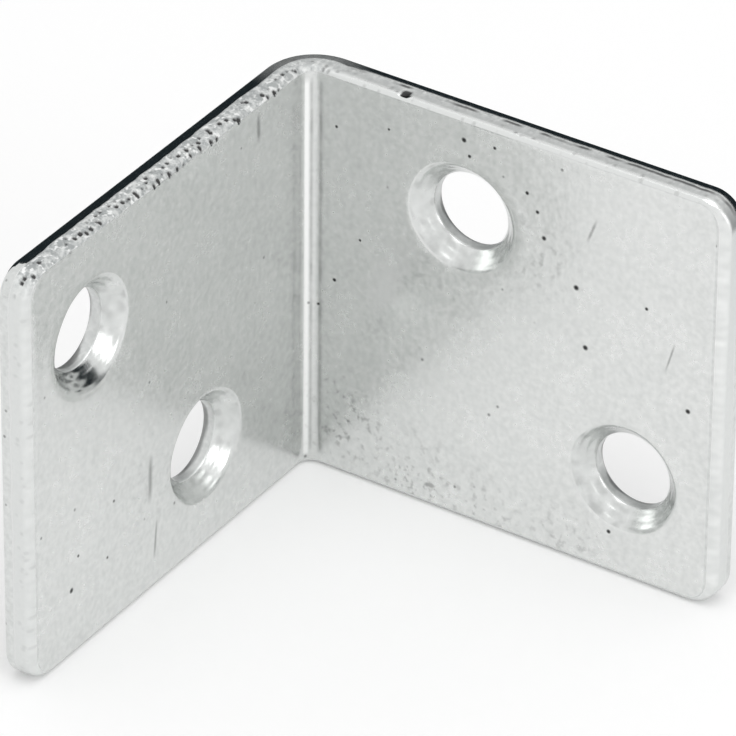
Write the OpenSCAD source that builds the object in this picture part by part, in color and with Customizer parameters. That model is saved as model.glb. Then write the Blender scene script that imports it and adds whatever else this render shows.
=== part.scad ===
// Wide corner brace: one sheared blank with two diagonal countersunk holes a leaf,
// folded once to a right angle. The fold stands along +Z, one leaf runs along +X and the
// other along +Y, and the origin is the middle of the footprint, level with the lower edges.

/* [Sheet and fold] */
// Thickness of the sheet
sheet = 2.4; // [1.8:0.1:3.2]
// Radius inside the fold
fold_r = 1.1; // [0.8:0.1:3]
// What the outer radius has over that of a fold of even thickness, as the press draws the fold thin
fold_thin = 0.8; // [0.1:0.1:1.2]

/* [Leaves] */
// Length of a leaf, from the outer face of the other leaf to the free end
leaf_len = 38; // [34:0.5:60]
// Height of the leaves, which is the width of the strip
leaf_h = 34.5; // [30:0.5:60]
// Radius of the free corners
corner_r = 2.5; // [1.5:0.1:5]

/* [Sheared edges] */
// Radius that the shear rolls onto the outer arris
roll_r = 0.6; // [0.2:0.05:0.8]
// Radius of the broken inner arris
inner_r = 0.5; // [0.1:0.05:0.6]
// Depth from the outer face at which the torn zone of the edge starts
tear_start = 1.1; // [0.9:0.05:1.3]
// How far the torn zone falls back at the inner face
tear_fall = 0.08; // [0.02:0.01:0.15]

/* [Hole places] */
// Free end to the centre of the hole near it
end_margin = 8.1; // [7:0.1:10]
// Inner face of the other leaf to the centre of the hole near the fold
fold_margin = 13.3; // [10:0.1:15]
// Upper or lower edge to the centre of the hole near it
edge_margin = 8.6; // [7.5:0.1:11]

/* [Countersunk holes] */
// Diameter of the straight wall of a hole
hole_d = 6.2; // [4:0.1:6.6]
// Diameter of the countersink where its cone meets the inner face
csk_d = 8.9; // [8:0.1:9.6]
// Full angle of the countersink
csk_angle = 90; // [80:1:110]
// Radius of the soft rim that the press leaves round a countersink
rim_r = 0.9; // [0.3:0.1:1.1]
// Depth of the break-out cone at the outer face
breakout_h = 0.3; // [0.1:0.05:0.4]
// Growth of a hole's radius in the break-out cone
breakout_w = 0.12; // [0.05:0.01:0.2]

/* [Hidden] */
$fn = 96;
past = 0.5;
// Angle at which a rounding meets the face that it runs into
entry = 10;
zinc = [0.74, 0.76, 0.75];

inner_c = sheet + fold_r;
outer_r = inner_c + fold_thin;
near_s = sheet + fold_margin;
far_s = leaf_len - end_margin;
low_z = edge_margin;
high_z = leaf_h - edge_margin;

half_csk = csk_angle / 2;
hole_r = hole_d / 2;
csk_r = csk_d / 2;
land_y = -(csk_r - hole_r) / tan(half_csk);
rim_cy = -rim_r * cos(entry);
rim_cx = csk_r + (rim_r + rim_cy * sin(half_csk)) / cos(half_csk);

// Corner at the origin, material towards +X and +Y: what a rounding of radius r takes off
module arris_waste(r) {
    centre = r * cos(entry);
    reach = centre - r * sin(entry);
    difference() {
        translate([-past, -past]) square(reach + past);
        translate([centre, centre]) circle(r);
    }
}

// What the shear tears off a square edge at x = 0: y is the depth from the outer face
module tear_waste() {
    polygon([
        [-past, tear_start],
        [0, tear_start],
        [tear_fall, sheet],
        [tear_fall, sheet + past],
        [-past, sheet + past]
    ]);
    translate([tear_fall, sheet]) mirror([0, 1]) arris_waste(inner_r);
}

// All that the shear leaves off a square edge: a rolled outer arris and a torn inner half
module edge_waste() {
    arris_waste(roll_r);
    tear_waste();
}

// Section across a border of the blank: x runs out to the sheared edge at x = w
module border_section(w) {
    difference() {
        square([w, sheet]);
        translate([w, 0]) mirror([1, 0]) edge_waste();
    }
}

// Section across the whole strip, with a sheared edge at each side
module strip_section() {
    difference() {
        square([leaf_h, sheet]);
        edge_waste();
        translate([leaf_h, 0]) mirror([1, 0]) edge_waste();
    }
}

// Quarter of the blank's border that turns a free corner, about its own centre
module corner_turn() {
    rotate([-90, 0, 0]) rotate_extrude(angle = 90) border_section(corner_r);
}

// Flat leaf along +X with its outer face at y = 0, from the fold to the rounded free end
module flat_leaf() {
    end_s = leaf_len - corner_r;
    translate([outer_r, 0, leaf_h]) rotate([0, 90, 0]) linear_extrude(end_s - outer_r) strip_section();
    translate([end_s, 0, corner_r]) linear_extrude(leaf_h - 2 * corner_r) border_section(corner_r);
    translate([end_s, 0, corner_r]) corner_turn();
    translate([end_s, 0, leaf_h - corner_r]) rotate([0, -90, 0]) corner_turn();
}

// Plan of the fold: the outer arc is struck from further out than the inner one
module fold_plan() {
    difference() {
        intersection() {
            square(outer_r);
            translate([outer_r, outer_r]) circle(outer_r);
        }
        difference() {
            translate([sheet, sheet]) square(outer_r);
            difference() {
                translate([sheet, sheet]) square(fold_r);
                translate([inner_c, inner_c]) circle(fold_r);
            }
        }
    }
}

// Quarter turn of a waste section about an axis at [c, c]
module waste_turn(c) {
    translate([c, c, 0]) rotate(180) rotate_extrude(angle = 90) children();
}

// Torn zone on the flat between the inner arc and the leaf along +X
module tear_run() {
    translate([outer_r + past, 0, 0]) rotate([0, -90, 0]) linear_extrude(fold_thin + past) tear_waste();
}

// What the shear leaves off the lower edge of the fold
module fold_waste() {
    waste_turn(outer_r) translate([outer_r, 0]) mirror([1, 0]) arris_waste(roll_r);
    waste_turn(inner_c) translate([inner_c, 0]) mirror([1, 0]) mirror([1, -1]) tear_waste();
    tear_run();
    mirror([1, -1, 0]) tear_run();
}

module fold() {
    difference() {
        linear_extrude(leaf_h) fold_plan();
        fold_waste();
        translate([0, 0, leaf_h]) mirror([0, 0, 1]) fold_waste();
    }
}

// Half section of a countersunk hole: x is the radius, y = 0 is the inner face
module hole_section() {
    difference() {
        polygon([
            [0, past],
            [rim_cx - rim_r * sin(entry), past],
            [rim_cx - rim_r * sin(entry), 0],
            [rim_cx - rim_r * cos(half_csk), rim_cy + rim_r * sin(half_csk)],
            [hole_r, land_y],
            [hole_r, breakout_h - sheet],
            [hole_r + breakout_w, -sheet],
            [hole_r + breakout_w, -sheet - past],
            [0, -sheet - past]
        ]);
        translate([rim_cx, rim_cy]) circle(rim_r);
    }
}

// Tool for one hole, on its axis along +Y, with the inner face at y = 0
module hole_tool() {
    rotate([-90, 0, 0]) rotate_extrude() hole_section();
}

// Leaf with holes at the given [distance along the leaf, height] places
module leaf(places) {
    difference() {
        flat_leaf();
        for (place = places) translate([place[0], sheet, place[1]]) hole_tool();
    }
}

module bracket() {
    color(zinc) translate([-leaf_len / 2, -leaf_len / 2, 0]) {
        fold();
        leaf([[far_s, high_z], [near_s, low_z]]);
        mirror([1, -1, 0]) leaf([[near_s, high_z], [far_s, low_z]]);
    }
}

bracket();
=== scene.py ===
"""Corner brace bracket: a folded sheet with sheared edges and pressed countersinks, in the CAD frame."""
from math import cos, pi, radians, sin, tan

import bpy
import numpy as np
from mathutils import Matrix, Vector, noise
from mathutils.geometry import delaunay_2d_cdt


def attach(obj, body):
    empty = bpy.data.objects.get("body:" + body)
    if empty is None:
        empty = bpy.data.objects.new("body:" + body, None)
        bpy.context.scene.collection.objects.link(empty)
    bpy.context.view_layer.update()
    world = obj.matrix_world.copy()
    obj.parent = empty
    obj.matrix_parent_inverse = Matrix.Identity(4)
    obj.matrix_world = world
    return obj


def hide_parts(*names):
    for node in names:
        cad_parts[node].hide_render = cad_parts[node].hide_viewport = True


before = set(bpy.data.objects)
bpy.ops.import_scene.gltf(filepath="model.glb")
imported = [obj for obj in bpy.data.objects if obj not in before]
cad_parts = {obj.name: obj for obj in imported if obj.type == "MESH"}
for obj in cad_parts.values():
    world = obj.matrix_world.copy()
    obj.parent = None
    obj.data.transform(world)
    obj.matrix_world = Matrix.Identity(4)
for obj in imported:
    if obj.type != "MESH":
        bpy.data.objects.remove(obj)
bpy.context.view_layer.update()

# Sizes of the folded sheet, as in the CAD source, in millimetres
MM = 0.001
SHEET = 2.4
FOLD_R = 1.1
FOLD_THIN = 0.8
LEAF_LEN = 38.0
LEAF_H = 34.5
CORNER_R = 2.5
ROLL_R = 0.6
INNER_R = 0.5
TEAR_START = 1.1
TEAR_FALL = 0.08
ENTRY = radians(10)
HOLE_R = 3.1
CSK_R = 4.45
CSK_HALF = radians(45)
RIM_R = 0.9
BREAKOUT_H = 0.3
BREAKOUT_W = 0.12
NEAR_S = SHEET + 13.3
FAR_S = LEAF_LEN - 8.1
LOW_Z = 8.6
HIGH_Z = LEAF_H - 8.6

INNER_C = SHEET + FOLD_R
OUTER_R = INNER_C + FOLD_THIN
OUTER_RUN = OUTER_R * pi / 2
INNER_RUN = 2 * FOLD_THIN + FOLD_R * pi / 2

# The blank laid flat: u runs along the strip with the fold in the middle, w runs up
FOLD_HALF = (OUTER_RUN + INNER_RUN) / 4
BLANK_HALF = FOLD_HALF + LEAF_LEN - OUTER_R

# Mesh spacing in millimetres
EDGE_STEP = 0.125
FACE_STEP = 0.42
BACK_STEP = 0.8
FOLD_STEP = 0.08

# Vertices round a hole and loops down its cone
HOLE_SIDES = 144
CONE_LOOPS = 16

# How far a face's own loop stands in from the sheared edge, and out from a hole's rim or, behind, its wall
INNER_BORDER = 0.8
OUTER_BORDER = 0.9
HOLE_BORDER = 0.6

# Where the face starts to sink towards a hole's rim: how far out from it and how deep
RIM_LEAD = 0.2
RIM_SINK = 0.006

# How far a face's inner vertices keep from those loops, and from the ends of the fold
INNER_GAP = 0.25
OUTER_GAP = 0.35
HOLE_GAP = 0.2
FOLD_GAP = 0.15

# Zones of the surface, each with a material of its own
FACE, SHEARED, TORN, PRESSED = range(4)

# What the inner arris is wider at the free ends than along the leaves, in millimetres, and how bright a
# highlight is painted on it
END_SOFT = 0.75
END_PAINTED_HIGHLIGHT = 0.36

# How far the line between the burnished and the torn zone wanders, slowly and finely, in millimetres
WANDER_SLOW = 0.10
WANDER_FINE = 0.06

# Pits of the torn zone: how far apart, how large and how deep, in millimetres, and the depth of its grit
PIT_CELL = 0.68
PIT_REACH = 0.21
PIT_DEPTH = 0.13
GRIT_DEPTH = 0.03

# The one nick of the Y leaf's upper edge: place out along the leaf and size
NOTCH_S = 10.5
NOTCH_REACH = 0.42

# How dark the broken line is at the start of the torn zone
TEAR_LINE = 0.55

# How matt the burnished zone is beside that line, and on the outside of the fold
LIP_MATT = 1.0
FOLD_MATT = 0.3

# Lines inside the fold: place along the blank, half width and rise, in millimetres, and how dark the
# painted shade along them is
CREASES = [
    (-0.30, 0.16, 0.03, 0.28),
    (-1.35, 0.30, -0.03, 0.32),
]

# Painted highlight line inside the fold: place along the blank and half width
HIGHLIGHT_LINE_U = 0.25
HIGHLIGHT_LINE_HALF = 0.3

# Slow waves of the rolled sheet: size and depth, in millimetres
WAVE_SIZE = 5.0
WAVE_DEPTH = 0.012

# Turning rings that the tool leaves on a countersink: pitch in depth and rise
RING_PITCH = 0.46
RING_RISE = 0.015

# How uneven a countersink's rim is, and how far the tool chattered in its cone, in millimetres
RIM_UNEVEN = 0.1
CHATTER = 0.006

# How dark the smudges at the top and the foot of a countersink are
CONE_SOIL = 0.2

# How torn the land of a hole is, and how dark the painted shade on its last part, where the hole breaks out
LAND_TORN = 0.6
LAND_PAINTED_SHADE = 0.4


def flat_u(s, leaf):
    """Place along the blank of a point s out along a leaf, measured from the other leaf's outer face."""
    return leaf * (FOLD_HALF + s - OUTER_R)


# Hole centres on the blank: the X leaf is at positive u and the Y leaf at negative u
HOLES = [
    (flat_u(FAR_S, 1), HIGH_Z),
    (flat_u(NEAR_S, 1), LOW_Z),
    (flat_u(NEAR_S, -1), HIGH_Z),
    (flat_u(FAR_S, -1), LOW_Z),
]


def folded(u, w, d):
    """Place in the row frame, in metres, of a blank point u, w at depth d from the outer face."""
    u, w, d = np.broadcast_arrays(np.asarray(u, float), w, d)
    t = np.clip((FOLD_HALF - u) / (2 * FOLD_HALF), 0, 1)
    past_x = np.maximum(u - FOLD_HALF, 0)
    past_y = np.maximum(-u - FOLD_HALF, 0)
    outer_x = OUTER_R - OUTER_R * np.sin(t * pi / 2)
    outer_y = OUTER_R - OUTER_R * np.cos(t * pi / 2)
    run = t * INNER_RUN
    turn = np.clip((run - FOLD_THIN) / FOLD_R, 0, pi / 2)
    inner_x = INNER_C - FOLD_R * np.sin(turn) + np.maximum(FOLD_THIN - run, 0)
    inner_y = INNER_C - FOLD_R * np.cos(turn) + np.maximum(run + FOLD_THIN - INNER_RUN, 0)
    k = d / SHEET
    x = outer_x + (inner_x - outer_x) * k + past_x
    y = outer_y + (inner_y - outer_y) * k + past_y
    half = LEAF_LEN / 2
    return np.stack([x - half, y - half, w], axis=-1) * MM


def arc(cx, cy, r, start, end, count):
    """Points of an arc, from start to end in degrees."""
    return [(cx + r * cos(a), cy + r * sin(a)) for a in np.radians(np.linspace(start, end, count))]


def edge_section():
    """(inset, depth, zone) across the sheared edge, from the inner face round to the outer face."""
    inner_c = INNER_R * cos(ENTRY)
    roll_c = ROLL_R * cos(ENTRY)
    slope = TEAR_FALL / (SHEET - TEAR_START)
    arris = arc(TEAR_FALL + inner_c, SHEET - inner_c, INNER_R, 100, 170, 8)
    points = [(INNER_BORDER, SHEET, FACE)]
    points += [(*p, FACE) for p in arris[:1]]
    points += [(*p, TORN) for p in arris[1:]]
    depths = np.linspace(SHEET - INNER_R - 0.03, TEAR_START, 7)
    points += [(slope * (d - TEAR_START), d, TORN) for d in depths]
    points += [(0, d, SHEARED) for d in np.linspace(TEAR_START - 0.1, ROLL_R, 3)]
    points += [(*p, SHEARED) for p in arc(roll_c, roll_c, ROLL_R, 190, 260, 7)]
    points += [(OUTER_BORDER, 0, FACE)]
    return points


def hole_section():
    """(radius, depth, zone) down the wall of a countersunk hole, from the inner face to the outer face."""
    rim_y = -RIM_R * cos(ENTRY)
    rim_x = CSK_R + (RIM_R + rim_y * sin(CSK_HALF)) / cos(CSK_HALF)
    land_y = -(CSK_R - HOLE_R) / tan(CSK_HALF)
    turn = arc(rim_x, rim_y, RIM_R, 103, 135, 7)
    rim = [(rim_x + HOLE_BORDER, 0), (rim_x + RIM_LEAD, -RIM_SINK)] + turn[:3]
    cone = turn[3:]
    top_x, top_y = cone[-1]
    for t in np.linspace(0, 1, CONE_LOOPS + 2)[1:-1]:
        cone.append((top_x + (HOLE_R - top_x) * t, top_y + (land_y - top_y) * t))
    cone += [(HOLE_R + 0.05, land_y + 0.05)]
    land = [(HOLE_R, land_y - 0.07)]
    land += [(HOLE_R, y) for y in np.linspace(land_y - 0.2, BREAKOUT_H - SHEET, 5)]
    land += [(HOLE_R + BREAKOUT_W, -SHEET + 0.03), (HOLE_R + BREAKOUT_W + 0.05, -SHEET)]
    back = [(HOLE_R + HOLE_BORDER, -SHEET)]
    zoned = [(rim, FACE), (cone, PRESSED), (land, TORN), (back, FACE)]
    return [(r, SHEET + y, zone) for points, zone in zoned for r, y in points]


def outline():
    """Closed run of (u, w, normal u, normal w) round the blank, evenly spaced."""
    straight_u = BLANK_HALF - CORNER_R
    high = LEAF_H - CORNER_R
    points = []

    def line(a, b, normal):
        """Straight run from a up to b, without b."""
        count = max(2, round(np.hypot(b[0] - a[0], b[1] - a[1]) / EDGE_STEP))
        for t in np.arange(count) / count:
            points.append((a[0] + (b[0] - a[0]) * t, a[1] + (b[1] - a[1]) * t, *normal))

    def corner(cu, cw, start):
        """Quarter turn about a centre from a start in degrees, without its last point."""
        count = round(CORNER_R * pi / 2 / EDGE_STEP)
        for a in np.radians(start + 90 * np.arange(count) / count):
            points.append((cu + CORNER_R * cos(a), cw + CORNER_R * sin(a), cos(a), sin(a)))

    line((-straight_u, 0), (straight_u, 0), (0, -1))
    corner(straight_u, CORNER_R, -90)
    line((BLANK_HALF, CORNER_R), (BLANK_HALF, high), (1, 0))
    corner(straight_u, high, 0)
    line((straight_u, LEAF_H), (-straight_u, LEAF_H), (0, 1))
    corner(-straight_u, high, 90)
    line((-BLANK_HALF, high), (-BLANK_HALF, CORNER_R), (-1, 0))
    corner(-straight_u, CORNER_R, 180)
    return np.array(points)


def noise_at(points, size, seed):
    """Perlin noise at points, in millimetres, with features of the given size."""
    shift = Vector((seed, 0, 0))
    return np.array([noise.noise(Vector(p) / size + shift) for p in points])


def pits_at(points, cell, reach):
    """1 at sparse random points, about a cell apart, and 0 further than reach from them, in millimetres."""
    gaps = [noise.voronoi(Vector(p) / cell)[0][0] * cell for p in points]
    return 1 - ramp(np.array(gaps), reach * 0.6, reach)


def ramp(value, low, high):
    """0 below low, 1 above high and straight between."""
    return np.clip((value - low) / (high - low), 0, 1)


class Skin:
    """Collects the vertices and faces of the folded sheet."""

    def __init__(self):
        self.places = []
        self.flat = []
        self.torn = []
        self.dirt_and_shade = []
        self.painted_highlight = []
        self.faces = []
        self.zones = []

    def add(self, u, w, d, torn=0.0, dirt_and_shade=0.0, painted_highlight=0.0):
        """Vertices at blank places, with how torn the metal is there, how dark it is painted for grime and
        painted shade, and how bright for a painted highlight, from 0 to 1.
        """
        start = len(self.places)
        u, w, d, torn, dirt_and_shade, painted_highlight = np.broadcast_arrays(u, w, d, torn, dirt_and_shade, painted_highlight)
        self.places += folded(u, w, d).tolist()
        self.flat += np.stack([u, w], axis=-1).tolist()
        self.torn += torn.tolist()
        self.dirt_and_shade += dirt_and_shade.tolist()
        self.painted_highlight += painted_highlight.tolist()
        return start + np.arange(len(u))

    def band(self, a, b, zone):
        """Quads between two closed loops of equal length."""
        self.faces += np.stack([a, np.roll(a, -1), np.roll(b, -1), b], axis=-1).tolist()
        self.zones += [zone] * len(a)


def notch_at(u, w):
    """1 in the nick that the upper edge of the Y leaf has, 0 beside it."""
    return ramp(NOTCH_REACH - np.hypot(u - flat_u(NOTCH_S, -1), w - LEAF_H), 0, NOTCH_REACH / 2)


def pits_and_nick(place, force, zone):
    """1 in the pits of the torn zone and in the nick, 0 beside them."""
    u, w, depth = place.T
    pits = pits_at(place, PIT_CELL, PIT_REACH) * force * (zone == TORN) * ramp(depth, 1.25, 1.55)
    nick = notch_at(u, w) * ramp(depth, 1.45, 1.65) * ramp(SHEET - depth, 0.15, 0.3)
    return np.maximum(pits, nick)


def tear_line(along, upper, depth, zone):
    """Darkness of the broken line along the upper edge of the Y leaf, where the torn zone starts."""
    broken = ramp(noise_at(along, 1.1, 61.0), -0.4, 0.1)
    reach = ramp(TEAR_START + 0.25 - depth, 0, 0.13)
    return TEAR_LINE * upper * ramp(-along[:, 0], 3, 6) * broken * reach * (zone == TORN)


def torn_at(u, upper, matt, depth, zone):
    """How torn or matt the edge is at a depth, from 0 to 1."""
    if zone == SHEARED:
        # The burnished zone is matt along the Y leaf's upper edge, and on the stretched outside of the fold
        lip = LIP_MATT * upper * ramp(-u, 3, 6) * ramp(depth, 0.85, 0.95)
        return np.maximum(lip, FOLD_MATT * (1 - ramp(np.abs(u), 2, 5)))
    # On the upper edge of the Y leaf the torn zone turns smooth again towards a bright arris
    smooth = upper * ramp(-u, 1, 5) * (0.3 * ramp(depth, 1.2, 1.8) + 0.7 * ramp(depth, 1.9, 2.0))
    return matt * (1 - smooth) * (zone == TORN)


def arris_highlight_at(u, nu, rough, depth, zone):
    """Painted highlight along the arris of the free ends, brighter on the Y leaf."""
    painted_highlight = END_PAINTED_HIGHLIGHT * nu ** 2 * ramp(depth, SHEET - INNER_R, SHEET - 0.2) * (zone == TORN)
    return np.clip(painted_highlight * (1 + 1.6 * rough) * (0.45 + 0.55 * (u < 0)), 0, 1)


def edge_walls(skin):
    """The sheared edge all the way round: returns its loops on the inner and the outer face."""
    u, w, nu, nw = outline().T
    along = np.stack([u, w, np.zeros_like(u)], axis=-1)
    wander = WANDER_SLOW * noise_at(along, 2.4, 3.0) + WANDER_FINE * noise_at(along, 0.7, 9.0)
    # The upper edge of the X leaf is torn hardest, the ends and the lower edge least
    upper = ramp(nw, 0.3, 0.9)
    force = (0.12 + 0.88 * ramp(u, -4, 6)) * (0.08 + 0.92 * upper)
    matt = 0.35 + 0.25 * force + 0.4 * upper
    loops, zones = [], []
    for inset, depth, zone in edge_section():
        place = np.stack([u, w, np.full_like(u, depth)], axis=-1)
        rough = noise_at(place, 0.5, 23.0)
        pits = pits_and_nick(place, force, zone)
        grit = force * (zone == TORN) * np.maximum(rough + 0.6, 0)
        inset_here = inset + PIT_DEPTH * pits + GRIT_DEPTH * grit
        if depth > SHEET / 2:
            inset_here = inset_here + END_SOFT * nu ** 2 * ramp(inset, TEAR_FALL, TEAR_FALL + INNER_R)
        drift = wander * ramp(depth, 0.55, 1.1) * ramp(SHEET - depth, 0.3, 0.9)
        torn = torn_at(u, upper, matt, depth, zone)
        # Painted shade: the pits and the nick are darkened, as is the broken line of the tear
        dirt_and_shade = np.maximum(pits, tear_line(along, upper, depth, zone))
        # Painted highlight on the arris of the free ends
        painted_highlight = arris_highlight_at(u, nu, rough, depth, zone)
        loop = skin.add(u - nu * inset_here, w - nw * inset_here, depth + drift, torn, dirt_and_shade, painted_highlight)
        loops.append(loop)
        zones.append(zone)
    for a, b, zone_a, zone_b in zip(loops[:-1], loops[1:], zones[:-1], zones[1:]):
        # The band where a face turns into an arris is as glossy as the sheared zone
        skin.band(a, b, zone_a if zone_a != FACE else min(zone_b, SHEARED))
    return loops[0], loops[-1]


def hole_walls(skin, centre, seed):
    """One countersunk hole: returns its loops on the inner and the outer face."""
    angle = np.arange(HOLE_SIDES) * 2 * pi / HOLE_SIDES
    # The unevenness is read round a ring, so that it closes on itself
    ring = np.stack([2.2 * np.cos(angle), 2.2 * np.sin(angle), np.full_like(angle, seed)], axis=-1)
    uneven = noise_at(ring, 1.6, 5.0)
    chatter = noise_at(ring, 0.35, 8.0)
    loops, zones = [], []
    for r, d, zone in hole_section():
        wall = 0 < SHEET - d < SHEET
        rim = ramp(d, SHEET - 0.5, SHEET - 0.1) * wall
        cone = ramp(d, SHEET - 1.6, SHEET - 1.2) * wall
        rings = (0.7 + uneven) * sin(2 * pi * d / RING_PITCH) * (zone == PRESSED)
        here = r + RIM_UNEVEN * rim * uneven + CHATTER * cone * chatter + RING_RISE * rings
        u, w = centre[0] + here * np.cos(angle), centre[1] + here * np.sin(angle)
        # Painted shade: the last of the land, where the hole breaks out, is darkened
        dirt_and_shade = LAND_PAINTED_SHADE * wall * ramp(0.32 + 0.5 * uneven - d, 0, 0.15) * (zone == TORN)
        spots = noise_at(np.stack([u, w, np.full_like(u, 1.5 * d)], axis=-1), 0.9, 31.0)
        smudges = ramp(spots, 0.05, 0.4) * abs(cos(pi * (SHEET - d) / (CSK_R - HOLE_R)))
        dirt_and_shade = dirt_and_shade + CONE_SOIL * smudges * (zone == PRESSED)
        loops.append(skin.add(u, w, d, LAND_TORN * (zone == TORN), dirt_and_shade))
        zones.append(zone)
    for a, b, zone in zip(loops[:-1], loops[1:], zones[1:]):
        skin.band(b, a, zone)
    return loops[0], loops[-1]


def clear_of_border(u, w, gap):
    """True where a point is on the blank and further than gap from the inner end of its border."""
    near_u = np.maximum(np.abs(u) - (BLANK_HALF - CORNER_R), 0)
    near_w = np.maximum(np.abs(w - LEAF_H / 2) - (LEAF_H / 2 - CORNER_R), 0)
    away = np.maximum(np.hypot(near_u, near_w), 0.001)
    return away < CORNER_R - gap - END_SOFT * (near_u / away) ** 2


def crease(u, w):
    """Height of the fine lines that the press tool leaves inside the fold, and the painted shade along
    them.
    """
    points = np.stack([np.zeros_like(w), w, np.zeros_like(w)], axis=-1)
    uneven = (1 + 0.8 * noise_at(points, 1.8, 51.0)) * ramp(np.minimum(w, LEAF_H - w), 0.9, 1.6)
    height, dirt_and_shade = 0, 0
    for place, half_width, rise, dark in CREASES:
        line = uneven * np.exp(-((u - place) / half_width) ** 2)
        height = height + rise * line
        dirt_and_shade = dirt_and_shade + dark * line
    return height, np.clip(dirt_and_shade, 0, 1)


def face_grid(step, border, hole_gap):
    """Blank places of a face's inner vertices, which stand closer together in the fold."""
    wing = np.arange(FOLD_HALF + FOLD_GAP, BLANK_HALF - border, step)
    middle = np.linspace(-FOLD_HALF, FOLD_HALF, round(2 * FOLD_HALF / FOLD_STEP) + 1)
    columns = np.concatenate([wing, -wing, middle])
    rows = np.linspace(border, LEAF_H - border, round(LEAF_H / step) + 1)
    u, w = [g.ravel() for g in np.meshgrid(columns, rows)]
    keep = clear_of_border(u, w, border)
    for cu, cw in HOLES:
        keep &= np.hypot(u - cu, w - cw) > hole_gap
    return u[keep], w[keep]


def face_vertices(skin, u, w, depth):
    """Vertices of a face with its slow waves, and on the inner face with the lines inside the fold, the
    painted shade along them and a painted highlight line.
    """
    waves = noise_at(np.stack([u, w, np.full_like(u, depth)], axis=-1), WAVE_SIZE, 41.0)
    sink = WAVE_DEPTH * (waves + 1) * np.minimum(1, np.abs(np.abs(u) - FOLD_HALF))
    if not depth:
        return skin.add(u, w, sink)
    # Painted shade along the lines inside the fold
    rise, dirt_and_shade = crease(u, w)
    # Painted highlight: a bright line inside the fold
    painted_highlight = np.exp(-((u - HIGHLIGHT_LINE_U) / HIGHLIGHT_LINE_HALF) ** 4)
    return skin.add(u, w, depth - sink + rise, 0.0, dirt_and_shade, painted_highlight)


def fill_face(skin, loops, depth, step, border, hole_gap, turn_over):
    """Fills a face between its outer loop and its hole loops with triangles."""
    u, w = face_grid(step, border, hole_gap)
    ids = np.concatenate([*loops, face_vertices(skin, u, w, depth)])
    flat = [Vector(skin.flat[i]) for i in ids]
    edges, start = [], 0
    for loop in loops:
        ring = start + np.arange(len(loop))
        edges += np.stack([ring, np.roll(ring, -1)], axis=-1).tolist()
        start += len(loop)
    points, _, triangles, origin, _, _ = delaunay_2d_cdt(flat, edges, [], 1, 1e-7)
    if len(points) != len(flat):
        raise RuntimeError("the triangulation of a face added points")
    for tri in triangles:
        mid = sum((points[i] for i in tri), Vector((0, 0))) / 3
        if any((mid - Vector(h)).length < hole_gap - HOLE_GAP for h in HOLES):
            continue
        face = [int(ids[origin[i][0]]) for i in tri]
        skin.faces.append(face[::-1] if turn_over else face)
        skin.zones.append(FACE)


def make_sheet():
    """The whole folded sheet as one closed mesh."""
    skin = Skin()
    pairs = [edge_walls(skin)]
    pairs += [hole_walls(skin, centre, 7.0 * (number + 1)) for number, centre in enumerate(HOLES)]
    inner_loops, outer_loops = zip(*pairs)
    section = hole_section()
    inner_gap, outer_gap = section[0][0] + HOLE_GAP, section[-1][0] + HOLE_GAP
    fill_face(skin, inner_loops, SHEET, FACE_STEP, INNER_BORDER + INNER_GAP, inner_gap, True)
    fill_face(skin, outer_loops, 0.0, BACK_STEP, OUTER_BORDER + OUTER_GAP, outer_gap, False)
    mesh = bpy.data.meshes.new("folded_sheet")
    mesh.from_pydata(skin.places, [], skin.faces)
    mesh.update()
    mesh.polygons.foreach_set("material_index", np.array(skin.zones, dtype=np.int32))
    mesh.polygons.foreach_set("use_smooth", np.ones(len(skin.faces), dtype=bool))
    for name, values in (("torn", skin.torn), ("dirt_and_shade", skin.dirt_and_shade), ("painted_highlight", skin.painted_highlight)):
        attribute = mesh.attributes.new(name, "FLOAT", "POINT")
        attribute.data.foreach_set("value", np.array(values, dtype=np.float32))
    sheet = bpy.data.objects.new("folded_sheet", mesh)
    bpy.context.scene.collection.objects.link(sheet)
    return sheet


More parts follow.
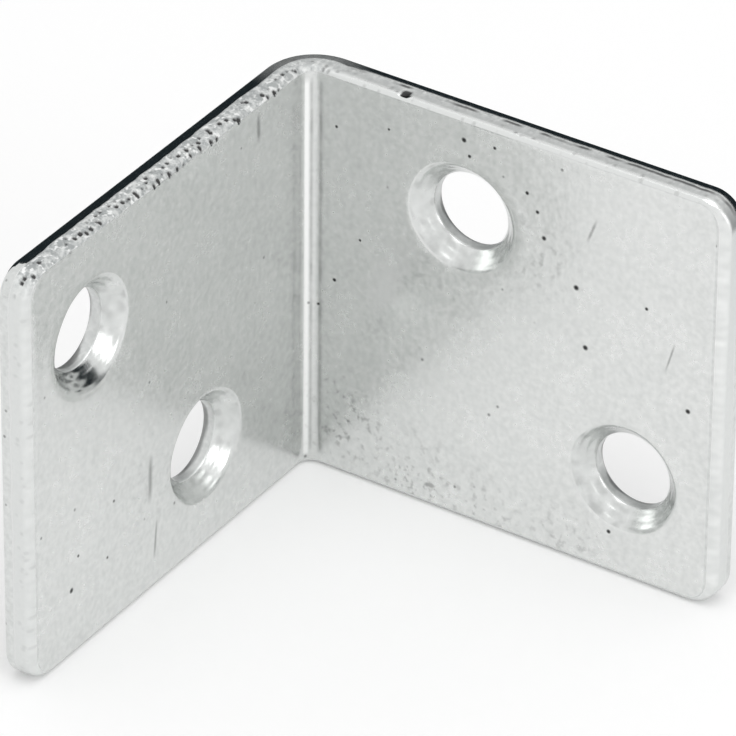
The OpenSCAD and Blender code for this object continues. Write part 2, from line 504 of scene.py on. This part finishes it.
class Nodes:
    """Short calls to build a node tree."""

    def __init__(self, name):
        self.material = bpy.data.materials.new(name)
        self.material.use_nodes = True
        self.tree = self.material.node_tree
        self.shader = self.tree.nodes["Principled BSDF"]

    def put(self, socket, value):
        """Links a socket to another, or gives it a plain value."""
        if isinstance(value, bpy.types.NodeSocket):
            self.tree.links.new(value, socket)
        else:
            socket.default_value = value

    def math(self, operation, a, b=0.0):
        """Result of a sum or the like on two values."""
        n = self.tree.nodes.new("ShaderNodeMath")
        n.operation = operation
        self.put(n.inputs[0], a)
        self.put(n.inputs[1], b)
        return n.outputs[0]

    def place(self, scale, tilt=0.0):
        """Object coordinates in millimetres, scaled along x, y and z."""
        coords = self.tree.nodes.new("ShaderNodeTexCoord")
        mapping = self.tree.nodes.new("ShaderNodeMapping")
        mapping.inputs["Scale"].default_value = [s / MM for s in scale]
        mapping.inputs["Rotation"].default_value = (tilt, tilt, 0)
        self.put(mapping.inputs["Vector"], coords.outputs["Object"])
        return mapping.outputs[0]

    def from_fold(self, x_share):
        """Millimetres out of the fold, along Y and with a share of the way along X."""
        split = self.tree.nodes.new("ShaderNodeSeparateXYZ")
        self.put(split.inputs[0], self.place((1, 1, 1)))
        along = self.math("ADD", self.math("MULTIPLY", split.outputs[0], x_share), split.outputs[1])
        return self.math("ADD", along, (LEAF_LEN / 2 - SHEET) * (1 + x_share))

    def grain(self, size, detail=2.0, stretch=(1, 1, 1), tilt=0.0, rough=0.5):
        """Noise with features of the given size in millimetres."""
        n = self.tree.nodes.new("ShaderNodeTexNoise")
        n.inputs["Scale"].default_value = 1.0
        n.inputs["Detail"].default_value = detail
        n.inputs["Roughness"].default_value = rough
        self.put(n.inputs["Vector"], self.place([1 / (size * s) for s in stretch], tilt))
        return n.outputs["Fac"]

    def near(self, spots):
        """Strength of the nearest of some spots, each a leaf, a place on it, a reach and a strength."""
        total = 0.0
        for leaf, s, z, reach, strength in spots:
            away = self.distance(on_leaf(leaf, s, z))
            total = self.math("MAXIMUM", total, self.span(away, reach * MM, 0.0, 0.0, strength))
        return total

    def distance(self, place):
        """Metres from a place of the row frame."""
        coords = self.tree.nodes.new("ShaderNodeTexCoord").outputs["Object"]
        n = self.tree.nodes.new("ShaderNodeVectorMath")
        n.operation = "DISTANCE"
        self.put(n.inputs[0], coords)
        n.inputs[1].default_value = place
        return n.outputs["Value"]

    def attribute(self, name):
        """A value that the mesh carries."""
        n = self.tree.nodes.new("ShaderNodeAttribute")
        n.attribute_name = name
        return n.outputs["Fac"]

    def dots(self, size, reach):
        """Distance to sparse random points, as 1 at a point and 0 past its reach."""
        n = self.tree.nodes.new("ShaderNodeTexVoronoi")
        n.inputs["Scale"].default_value = 1.0
        self.put(n.inputs["Vector"], self.place([1 / size] * 3))
        return self.span(n.outputs["Distance"], reach, reach * 0.4)

    def span(self, value, start, end, low=0.0, high=1.0):
        """Maps start..end to low..high, clamped."""
        n = self.tree.nodes.new("ShaderNodeMapRange")
        for socket, v in zip(n.inputs, (value, start, end, low, high)):
            self.put(socket, v)
        return n.outputs[0]

    def tint(self, factor, a, b):
        """Mixes two colours."""
        n = self.tree.nodes.new("ShaderNodeMix")
        n.data_type = "RGBA"
        self.put(n.inputs["Factor"], factor)
        for socket, colour in ((n.inputs["A"], a), (n.inputs["B"], b)):
            self.put(socket, colour if isinstance(colour, bpy.types.NodeSocket) else (*colour, 1))
        return n.outputs["Result"]

    def bump(self, height, strength, distance):
        """Normal of a surface with a fine relief, its depth in millimetres."""
        n = self.tree.nodes.new("ShaderNodeBump")
        n.inputs["Strength"].default_value = strength
        n.inputs["Distance"].default_value = distance * MM
        self.put(n.inputs["Height"], height)
        return n.outputs["Normal"]


# Colours of bright zinc and of what lies on it; the dark one is also painted shade in pits, creases and at
# the end of hole lands
ZINC = (0.735, 0.75, 0.74)
ZINC_DULL = (0.62, 0.635, 0.625)
ZINC_PALE = (0.80, 0.81, 0.80)
ZINC_WHITE = (0.93, 0.94, 0.93)
ZINC_GREY = (0.42, 0.44, 0.44)
DARK_DIRT_AND_SHADE = (0.05, 0.05, 0.05)

# Roughness of each zone, from its smoothest to its roughest places
FACE_ROUGH = (0.17, 0.30)
SHEARED_ROUGH = (0.06, 0.13)
TORN_ROUGH = (0.22, 0.6)
PRESSED_ROUGH = (0.16, 0.28)

# What the painted highlight takes off the roughness of a face, and what matt places of the sheared zone
# gain
HIGHLIGHT_SMOOTH = 0.08
MATT_ROUGH = 0.4

# How metallic the zinc still looks where it is fully torn or matt
TORN_METALLIC = 0.2

# Painted shade: what the zinc gains in brightness from the fold to the middle of a leaf, as a share of dull
# to pale, so that it is darker towards the fold
FOLD_PAINTED_SHADE = 0.3

# Dark specks seen on the leaves: leaf, place out along it, height and size, in millimetres
SPECKS = [
    ("Y", 15.8, 32.6, 0.26),
    ("Y", 18.4, 32.8, 0.17),
    ("Y", 16.3, 31.4, 0.18),
    ("Y", 21.2, 30.0, 0.2),
    ("Y", 9.4, 31.3, 0.13),
    ("Y", 4.9, 30.0, 0.16),
    ("Y", 28.8, 3.6, 0.22),
    ("Y", 22.1, 28.7, 0.2),
    ("Y", 22.7, 26.7, 0.24),
    ("Y", 25.5, 23.5, 0.28),
    ("Y", 26.4, 18.7, 0.27),
    ("Y", 31.4, 23.8, 0.18),
    ("Y", 35.1, 16.4, 0.26),
    ("Y", 4.8, 16.8, 0.2),
    ("Y", 3.4, 14.2, 0.17),
    ("Y", 7.0, 21.0, 0.15),
    ("X", 32.8, 5.7, 0.27),
    ("X", 2.7, 8.0, 0.26),
    ("X", 31.9, 8.2, 0.16),
    ("X", 28.3, 6.0, 0.15),
    ("X", 27.4, 10.4, 0.15),
]

# Where fine dirt gathers: leaf, place, reach and strength
GRIME = [
    ("Y", 6.0, 4.5, 5.5, 1.0),
    ("Y", 12.0, 2.0, 5.0, 1.0),
    ("Y", 18.0, 1.0, 4.5, 0.8),
    ("Y", 25.0, 1.0, 5.0, 0.6),
    ("Y", 22.0, 25.0, 5.5, 0.5),
    ("Y", 15.0, 20.0, 4.0, 0.4),
    ("X", 22.0, 10.0, 7.0, 0.3),
]

# Scratches seen on the leaves: leaf, two ends as place out along it and height, and width, in millimetres
SCRATCHES = [
    ("X", (22.7, 12.0), (22.9, 7.4), 0.36),
    ("X", (22.0, 6.0), (22.4, 2.4), 0.2),
    ("X", (8.8, 33.6), (8.75, 30.9), 0.34),
    ("Y", (26.3, 27.6), (27.1, 29.8), 0.17),
    ("Y", (33.1, 19.0), (33.9, 21.9), 0.13),
]

# How dark a scratch is next to a speck
SCRATCH_DARK = 0.48


def on_leaf(leaf, s, z):
    """Place in metres on the inner face of a leaf."""
    near = SHEET - LEAF_LEN / 2
    out = s - LEAF_LEN / 2
    return Vector((out, near, z) if leaf == "X" else (near, out, z)) * MM


def scratch(nodes, leaf, a, b, width):
    """Strength of one scratch between two places of a leaf."""
    start, end = on_leaf(leaf, *a), on_leaf(leaf, *b)
    line = nodes.tree.nodes.new("ShaderNodeMapping")
    line.vector_type = "TEXTURE"
    line.inputs["Location"].default_value = (start + end) / 2
    line.inputs["Rotation"].default_value = (end - start).to_track_quat("X", "Z").to_euler()
    nodes.put(line.inputs["Vector"], nodes.tree.nodes.new("ShaderNodeTexCoord").outputs["Object"])
    split = nodes.tree.nodes.new("ShaderNodeSeparateXYZ")
    nodes.put(split.inputs[0], line.outputs[0])
    along, side, off = [nodes.math("ABSOLUTE", s) for s in split.outputs]
    half = (end - start).length / 2
    body = nodes.span(nodes.math("ADD", side, off), width * MM, width * 0.2 * MM)
    return nodes.math("MULTIPLY", body, nodes.span(along, half, half * 0.4, 0.0, SCRATCH_DARK))


def marks(nodes):
    """1 on the specks that the leaves carry, less on the scratches and 0 beside them."""
    total = 0.0
    for leaf, s, z, size in SPECKS:
        away = nodes.distance(on_leaf(leaf, s, z))
        total = nodes.math("MAXIMUM", total, nodes.span(away, size * MM, size * 0.45 * MM))
    for leaf, a, b, width in SCRATCHES:
        total = nodes.math("MAXIMUM", total, scratch(nodes, leaf, a, b, width))
    return total


def zinc_face():
    """Rolled sheet under bright zinc: mottled and faintly streaked, with specks, scratches and grime,
    painted shade along the lines inside the fold and towards the fold, and a painted highlight line inside
    the fold.
    """
    n = Nodes("zinc_face")
    mottle = n.grain(0.5, 1.5, rough=0.6)
    cloud = n.grain(4.0, 2.0)
    streaks = n.grain(0.35, 2.0, stretch=(1, 1, 14))
    level = n.math("ADD", n.span(mottle, 0.3, 0.7, 0.0, 0.5), n.span(cloud, 0.3, 0.7, 0.0, 0.2))
    level = n.math("ADD", level, n.span(streaks, 0.3, 0.7, 0.0, 0.1))
    # Painted shade: the zinc is darker towards the fold
    level = n.math("ADD", level, n.span(n.from_fold(0.2), 0.0, 17.0, 0.0, FOLD_PAINTED_SHADE))
    # Painted highlight: the line inside the fold is tinted towards white
    painted_highlight = n.attribute("painted_highlight")
    colour = n.tint(painted_highlight, n.tint(level, ZINC_DULL, ZINC_PALE), ZINC_WHITE)
    fine = n.math("MULTIPLY", n.dots(2.6, 0.065), 0.6)
    blots = n.span(n.grain(0.75, 3.0, rough=0.6), 0.54, 0.68, 0.0, 0.6)
    grime = n.math("MULTIPLY", blots, n.near(GRIME))
    marks_and_shade = n.math("MAXIMUM", marks(n), n.math("MAXIMUM", fine, grime))
    # Painted shade along the lines inside the fold comes in with the mesh's values
    marks_and_shade = n.math("MAXIMUM", marks_and_shade, n.attribute("dirt_and_shade"))
    n.put(n.shader.inputs["Base Color"], n.tint(marks_and_shade, colour, DARK_DIRT_AND_SHADE))
    n.shader.inputs["Metallic"].default_value = 1.0
    rough = n.span(n.math("ADD", mottle, cloud), 0.6, 1.4, *FACE_ROUGH)
    rough = n.math("SUBTRACT", rough, n.math("MULTIPLY", painted_highlight, HIGHLIGHT_SMOOTH))
    n.put(n.shader.inputs["Roughness"], rough)
    height = n.math("ADD", mottle, n.math("MULTIPLY", streaks, 0.3))
    height = n.math("SUBTRACT", height, n.math("MULTIPLY", grime, 2.0))
    n.put(n.shader.inputs["Normal"], n.bump(height, 0.4, 0.014))
    return n.material


def zinc_sheared():
    """Rolled arris and burnished zone, glossier than the faces but for the places where it is matt."""
    n = Nodes("zinc_sheared")
    drawn = n.grain(0.5, 2.0)
    specks = n.math("MULTIPLY", n.dots(1.3, 0.13), 0.6)
    colour = n.tint(n.span(drawn, 0.3, 0.7), ZINC_DULL, ZINC)
    n.put(n.shader.inputs["Base Color"], n.tint(specks, colour, DARK_DIRT_AND_SHADE))
    matt = n.attribute("torn")
    n.put(n.shader.inputs["Metallic"], n.span(matt, 0.0, 1.0, 1.0, TORN_METALLIC))
    rough = n.span(drawn, 0.3, 0.7, *SHEARED_ROUGH)
    rough = n.math("ADD", rough, n.math("MULTIPLY", matt, MATT_ROUGH))
    n.put(n.shader.inputs["Roughness"], rough)
    n.put(n.shader.inputs["Normal"], n.bump(drawn, 0.4, 0.01))
    return n.material


def zinc_torn():
    """Torn metal: matt and pale, with white flecks, the dark broken tear line, painted shade in its pits,
    its nick and the last of a hole's land, and a painted highlight on the arris of the free ends.
    """
    n = Nodes("zinc_torn")
    crumbs = n.grain(0.45, 3.0, rough=0.6)
    flecks = n.span(n.grain(0.42, 1.0), 0.56, 0.66)
    torn = n.attribute("torn")
    grit = n.math("POWER", torn, 3.0)
    colour = n.tint(n.math("MULTIPLY", n.span(crumbs, 0.62, 0.4), grit), ZINC, ZINC_GREY)
    # The painted highlight on the arris of the free ends is tinted white, as are the flecks
    bright = n.math("MAXIMUM", n.math("MULTIPLY", flecks, grit), n.attribute("painted_highlight"))
    colour = n.tint(bright, colour, ZINC_WHITE)
    # Painted shade in the pits, the nick and the last of a hole's land, and the dark tear line
    dirt_and_shade = n.span(n.attribute("dirt_and_shade"), 0.0, 0.65)
    n.put(n.shader.inputs["Base Color"], n.tint(dirt_and_shade, colour, DARK_DIRT_AND_SHADE))
    n.put(n.shader.inputs["Metallic"], n.span(torn, 0.0, 1.0, 1.0, TORN_METALLIC))
    n.put(n.shader.inputs["Roughness"], n.span(torn, 0.0, 1.0, *TORN_ROUGH))
    n.put(n.shader.inputs["Normal"], n.bump(n.math("MULTIPLY", crumbs, grit), 0.9, 0.03))
    return n.material


def zinc_pressed():
    """Cone of a pressed countersink: smooth, with faint smudges."""
    n = Nodes("zinc_pressed")
    cloud = n.grain(0.9, 2.0)
    colour = n.tint(n.span(cloud, 0.3, 0.7), ZINC_DULL, ZINC)
    n.put(n.shader.inputs["Base Color"], n.tint(n.attribute("dirt_and_shade"), colour, DARK_DIRT_AND_SHADE))
    n.shader.inputs["Metallic"].default_value = 1.0
    n.put(n.shader.inputs["Roughness"], n.span(cloud, 0.3, 0.7, *PRESSED_ROUGH))
    n.put(n.shader.inputs["Normal"], n.bump(cloud, 0.35, 0.02))
    return n.material


# Camera, found by fitting the outline: its bearing and height seen from the point that it aims at
VIEW_BEARING = radians(32.875)
VIEW_HEIGHT = radians(33.215)
VIEW_ROLL = radians(0.541)
VIEW_DISTANCE = 0.5606
VIEW_AIM = Vector((-0.002113, -0.001828, 0.021476))
VIEW_LENS = 386.29
SENSOR = 36.0


def make_camera():
    """Camera at the place that the photograph was taken from."""
    data = bpy.data.cameras.new("camera")
    data.sensor_width = SENSOR
    data.lens = VIEW_LENS
    data.clip_start = 0.01
    data.clip_end = 20
    cam = bpy.data.objects.new("camera", data)
    level = cos(VIEW_HEIGHT)
    back = Vector((cos(VIEW_BEARING) * level, sin(VIEW_BEARING) * level, sin(VIEW_HEIGHT)))
    turn = (-back).to_track_quat("-Z", "Y").to_matrix() @ Matrix.Rotation(VIEW_ROLL, 3, "Z")
    cam.matrix_world = Matrix.Translation(VIEW_AIM + back * VIEW_DISTANCE) @ turn.to_4x4()
    bpy.context.scene.collection.objects.link(cam)
    bpy.context.scene.camera = cam


# Light level on diffuse surfaces from the surroundings; what the camera and the metal see of them is white
ROOM_LEVEL = 0.72

# Floor: colour, what it is lifted by where it is seen, and in metres half its size and how low it lies
FLOOR_COLOUR = (0.95, 0.95, 0.95)
FLOOR_LIFT = 0.1
FLOOR_HALF = 3.0
FLOOR_DROP = 0.00002


def bearing_point(bearing, distance, height):
    """Point in metres at a bearing round the part, in degrees from +X towards +Y."""
    return Vector((distance * cos(radians(bearing)), distance * sin(radians(bearing)), height))


# Soft lamps: name, place and size in metres, and level
LAMPS = [
    ("overhead", Vector((0.1, 0.1, 0.9)), 0.7, 1.3),
    ("side", bearing_point(75, 0.75, 0.34), 0.36, 2.0),
]

# Dark backdrop behind the part: colour, first bearing and span in degrees, and number of panels
CARD_COLOUR = (0.022, 0.03, 0.034)
BACKDROP_FROM = 114
BACKDROP_SPAN = 136
BACKDROP_PANELS = 7

# Distance and height in metres of a panel's foot, bend and top
BACKDROP_ROWS = [(0.10, 0.001), (0.85, 0.05), (0.95, 1.05)]


def plain_material(name, colour):
    """Matt material for the studio."""
    m = bpy.data.materials.new(name)
    m.use_nodes = True
    shader = m.node_tree.nodes["Principled BSDF"]
    shader.inputs["Base Color"].default_value = (*colour, 1)
    shader.inputs["Roughness"].default_value = 0.9
    shader.inputs["Specular IOR Level"].default_value = 0.0
    return m


def seen_rays(tree):
    """1 for what the camera sees, also by way of metal or glass."""
    path = tree.nodes.new("ShaderNodeLightPath")
    seen = path.outputs["Is Camera Ray"]
    for name in ("Is Glossy Ray", "Is Transmission Ray"):
        n = tree.nodes.new("ShaderNodeMath")
        n.operation = "MAXIMUM"
        tree.links.new(seen, n.inputs[0])
        tree.links.new(path.outputs[name], n.inputs[1])
        seen = n.outputs[0]
    return seen


def floor_material():
    """Pale floor, lifted to white where it is seen, with its shadows kept."""
    m = plain_material("floor", FLOOR_COLOUR)
    tree = m.node_tree
    lift = tree.nodes.new("ShaderNodeMath")
    lift.operation = "MULTIPLY"
    lift.inputs[1].default_value = FLOOR_LIFT
    tree.links.new(seen_rays(tree), lift.inputs[0])
    shader = tree.nodes["Principled BSDF"]
    shader.inputs["Emission Color"].default_value = (1, 1, 1, 1)
    tree.links.new(lift.outputs[0], shader.inputs["Emission Strength"])
    return m


def stage_sheet(name, corners, material):
    """A four-cornered surface that belongs to the studio."""
    mesh = bpy.data.meshes.new(name)
    mesh.from_pydata([tuple(c) for c in corners], [], [(0, 1, 2, 3)])
    mesh.materials.append(material)
    sheet = bpy.data.objects.new(name, mesh)
    bpy.context.scene.collection.objects.link(sheet)
    return sheet


def dark_card(name, corners):
    """A dark studio card that only reflections show."""
    card = stage_sheet(name, corners, plain_material(name, CARD_COLOUR))
    card.visible_camera = False
    card.visible_diffuse = False
    card.visible_shadow = False
    card.visible_transmission = False
    return card


def soft_lamp(name, place, size, level):
    """A soft square lamp of a given radiance that faces the part."""
    data = bpy.data.lights.new(name, "AREA")
    data.shape = "SQUARE"
    data.size = size
    data.energy = level * pi * size * size
    lamp = bpy.data.objects.new(name, data)
    lamp.location = place
    lamp.rotation_euler = (Vector((0, 0, LEAF_H / 2 * MM)) - place).to_track_quat("-Z", "Y").to_euler()
    bpy.context.scene.collection.objects.link(lamp)


def make_room():
    """White surroundings that light the part a little less than they show."""
    world = bpy.data.worlds.new("room")
    bpy.context.scene.world = world
    world.use_nodes = True
    tree = world.node_tree
    level = tree.nodes.new("ShaderNodeMapRange")
    level.inputs["To Min"].default_value = ROOM_LEVEL
    tree.links.new(seen_rays(tree), level.inputs["Value"])
    background = tree.nodes["Background"]
    background.inputs["Color"].default_value = (1, 1, 1, 1)
    tree.links.new(level.outputs[0], background.inputs["Strength"])


def backdrop_panel(number, left, right):
    """A panel that starts on the floor behind the part and leans up to well above it."""
    foot, bend, top = [[bearing_point(side, *row) for side in (left, right)] for row in BACKDROP_ROWS]
    dark_card("backdrop_low_%d" % number, [*foot, *bend[::-1]])
    dark_card("backdrop_high_%d" % number, [*bend, *top[::-1]])


def make_stage():
    """Pale floor, white room, two soft lamps and a dark backdrop that only the metal shows."""
    bpy.context.scene.view_settings.view_transform = "Standard"
    make_room()
    signs = [(-1, -1), (1, -1), (1, 1), (-1, 1)]
    corners = [(x * FLOOR_HALF, y * FLOOR_HALF, -FLOOR_DROP) for x, y in signs]
    stage_sheet("floor", corners, floor_material())
    for lamp in LAMPS:
        soft_lamp(*lamp)
    for number in range(BACKDROP_PANELS):
        left = BACKDROP_FROM + BACKDROP_SPAN * number / BACKDROP_PANELS
        backdrop_panel(number, left, left + BACKDROP_SPAN / BACKDROP_PANELS)


def main():
    """Builds the scene."""
    make_camera()
    make_stage()
    sheet = make_sheet()
    for make in (zinc_face, zinc_sheared, zinc_torn, zinc_pressed):
        sheet.data.materials.append(make())
    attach(sheet, "root")
    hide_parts("bracket")


main()
